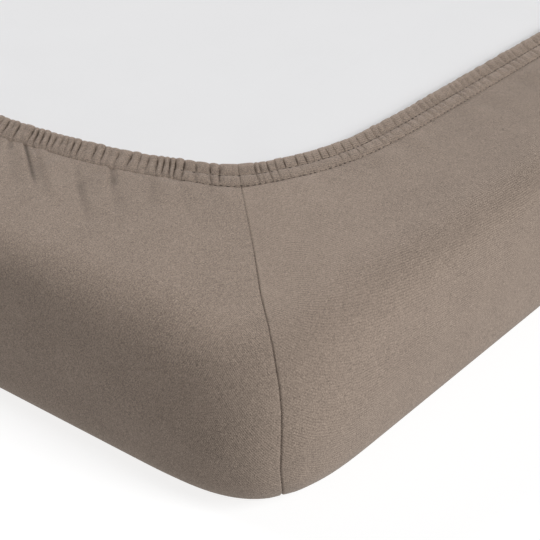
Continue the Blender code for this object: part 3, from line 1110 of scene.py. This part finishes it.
def finish(name, look):
    """A new material, with the values that look gives for its shader."""
    made = bpy.data.materials.new(name)
    made.use_nodes = True
    paint = Paint(made.node_tree)
    point = paint.node("ShaderNodeTexCoord", output="Object")
    paint.fill(made.node_tree.nodes["Principled BSDF"], look(paint, point))
    return made


def shade(colour, amount):
    """A colour made lighter or darker, with its alpha."""
    return (*(amount * channel for channel in colour), 1.0)


def sharp_crease_shade(paint, point):
    """1 along the first of FOLDS, a line of painted shade as thin as a crease, and 0 beside it."""
    start, end = fold_ends(FOLDS[0])
    run = end - start
    size = math.hypot(*run)
    x, y = paint.part(point, "X") - start[0], paint.part(point, "Y") - start[1]
    along = x * (run[0] / size**2) + y * (run[1] / size**2)
    beside = paint.maths("ABSOLUTE", x * (run[1] / size) - y * (run[0] / size))
    line = 1.0 - paint.over(beside, *CREASE_SHADE_HALVES)
    line = line * paint.over(along, *CREASE_SHADE_BEGINS)
    line = line * (1.0 - paint.over(along, *CREASE_SHADE_ENDS))
    return line * (paint.part(point, "Z") > THICK / 2)


def jersey_look(paint, point):
    """Soft matt jersey: wales, uneven yarn, pale flecks, painted shade in creases, gaps and seams,
    painted light on the hem's edge.
    """
    cut = paint.node("ShaderNodeUVMap", {"uv_map": "cut"})
    drift = paint.noise(point, WALE_DRIFT_SIZE) * 5.0
    wale = paint.maths("SINE", paint.part(cut, "Y") * (2 * math.pi / WALE_PITCH) + drift)
    yarn = paint.noise(point, YARN_SIZE, detail=2.5, rough=0.65)
    slub = paint.noise(point, SLUB_SIZE, detail=1.0)
    cloud = paint.noise(point, CLOUD_SIZE, detail=1.0)
    patch = paint.over(paint.noise(point, PATCH_SIZE, detail=1.0), 0.35, 0.65)
    tone = 0.5 + wale * (0.06 + patch * 0.11) + (yarn - 0.5) * 2.3
    tone = tone + (slub - 0.5) * 0.3 + (cloud - 0.5) * 0.2
    tone = paint.over(tone, 0.0, 1.0)
    colour = paint.mixed(tone, shade(JERSEY_COLOUR, 0.58), shade(JERSEY_COLOUR, 1.42))
    fleck = paint.over(paint.noise(point, FLECK_SIZE, detail=0.0), 0.66, 0.74)
    colour = paint.mixed(fleck * 0.4, colour, shade(JERSEY_COLOUR, 1.7))
    # Above 0 the value is painted shade, and below 0 it is painted light
    painted_light_and_shade = paint.values_of("painted_light_and_shade")
    painted_shade, painted_light = shade(JERSEY_COLOUR, 0.25), shade(JERSEY_COLOUR, 1.6)
    colour = paint.mixed(painted_light_and_shade * 0.62, colour, painted_shade)
    colour = paint.mixed(painted_light_and_shade * -1.0, colour, painted_light)
    # Painted shade along the sharpest crease
    colour = paint.mixed(sharp_crease_shade(paint, point) * 0.5, colour, painted_shade)
    # The seam's dark line: partly its thread, partly painted shade of its groove
    colour = paint.mixed(paint.values_of("seam_line_and_shade") * 0.5, colour, shade(THREAD_AND_HOLE_SHADE_COLOUR, 1.3))
    return {
        "Base Color": colour,
        "Normal": paint.bump(0.6, 0.25 * MM, wale * 0.25 + yarn * 1.6 + slub * 0.7),
        "Roughness": 0.86 + yarn * 0.12,
        "Specular IOR Level": 0.12,
        "Sheen Weight": 0.10,
        "Sheen Roughness": 0.5,
    }


def thread_look(paint, point):
    """Dark brown sewing thread, twisted, darker than the thread itself with painted shade of its
    needle holes.
    """
    twist = paint.noise(point, TWIST_SIZE, detail=1.0)
    colour = paint.mixed(twist, shade(THREAD_AND_HOLE_SHADE_COLOUR, 0.8), shade(THREAD_AND_HOLE_SHADE_COLOUR, 1.2))
    bump = paint.bump(0.4, 0.1 * MM, twist)
    return {"Base Color": colour, "Normal": bump, "Roughness": 0.75}


def ticking_look(paint, point):
    """Off-white, closely woven ticking, nearly smooth."""
    turns = 2 * math.pi / TICKING_PITCH
    warp = paint.maths("SINE", paint.part(point, "X") * turns)
    weave = warp * paint.maths("SINE", paint.part(point, "Y") * turns)
    cloud = paint.noise(point, TICKING_CLOUD_SIZE, detail=1.0)
    fibre = paint.noise(point, TICKING_FIBRE_SIZE)
    tone = 0.5 + (cloud - 0.5) * 0.8 + (fibre - 0.5) * 0.5 + weave * 0.08
    colour = paint.mixed(tone, shade(TICKING_COLOUR, 0.985), shade(TICKING_COLOUR, 1.015))
    return {
        "Base Color": colour,
        "Normal": paint.bump(0.15, 0.05 * MM, weave * 0.5 + fibre),
        "Roughness": 0.82 + fibre * 0.1,
        "Specular IOR Level": 0.15,
    }


def floor_look(paint, point):
    """Matt paint that glows, so that shadows on it stay pale."""
    cloud = paint.noise(point, 0.4)
    return {
        "Base Color": paint.mixed(cloud, shade(WHITE, 0.33), shade(WHITE, 0.35)),
        "Roughness": 0.9,
        "Specular IOR Level": 0.0,
        "Emission Color": shade(WHITE, 1.0),
        "Emission Strength": FLOOR_GLOW,
    }


# ---- Floor, light and camera


def build_stage():
    side = FLOOR_HALF
    mesh = bpy.data.meshes.new("floor")
    corners = [(-side, -side, 0), (side, -side, 0), (side, side, 0), (-side, side, 0)]
    mesh.from_pydata(corners, [], [(0, 1, 2, 3)])
    mesh.materials.append(finish("floor_paint", floor_look))
    floor = added("floor", mesh)
    # The world's lower half lights the object in the floor's place
    floor.visible_diffuse = False
    floor.visible_glossy = False
    floor.visible_shadow = False


def build_light():
    world = bpy.data.worlds.new("studio")
    world.use_nodes = True
    paint = Paint(world.node_tree)
    way = paint.node("ShaderNodeTexCoord", output="Generated")
    strength = (paint.part(way, "Z") > 0.0) * (SKY - FLOOR_BOUNCE) + FLOOR_BOUNCE
    background = world.node_tree.nodes["Background"]
    paint.fill(background, {"Color": shade(WHITE, 1.0), "Strength": strength})
    bpy.context.scene.world = world
    for number, (turn, lift, amount) in enumerate(SUNS):
        light = bpy.data.lights.new(f"soft_light_{number}", "SUN")
        light.energy = amount * math.pi
        light.angle = math.radians(SUN_SIZE)
        turn, lift = map(math.radians, (turn, lift))
        flat = math.cos(lift)
        way = Vector((flat * math.cos(turn), flat * math.sin(turn), math.sin(lift)))
        lamp = added(f"soft_light_{number}", light)
        lamp.rotation_euler = (-way).to_track_quat("-Z", "Y").to_euler()
    bpy.context.scene.view_settings.view_transform = "Standard"


def build_camera():
    camera = bpy.data.cameras.new("camera")
    camera.lens = CAMERA_LENS
    made = added("camera", camera)
    made.location = CAMERA_PLACE
    tilt, turn = math.radians(90 - CAMERA_DOWN), math.radians(CAMERA_ROUND - 90)
    made.rotation_euler = (tilt, 0.0, turn)
    bpy.context.scene.camera = made


def main():
    jersey = finish("jersey_knit", jersey_look)
    thread = finish("sewing_thread", thread_look)
    plans = [HemPlan(index) for index in range(4)]
    body, seam_lines = build_body(plans, jersey)
    hems = [build_hem(plan, jersey) for plan in plans]
    tree = stitch_tree()
    hem_lines = [line for plan in plans for line in hem_stitch_lines(plan)]
    sewn = [
        stitched("stitches_hem", tree, hem_lines, thread, *HEM_STITCH),
        stitched("stitches_seams", tree, seam_lines, thread, *SEAM_STITCH),
    ]
    pad = build_mattress(finish("ticking_cloth", ticking_look))
    cloth = [body, *hems, *sewn]
    for piece in [*cloth, pad]:
        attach(piece, "root")
    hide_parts("sheet")
    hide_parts("mattress")
    build_stage()
    build_light()
    build_camera()


main()
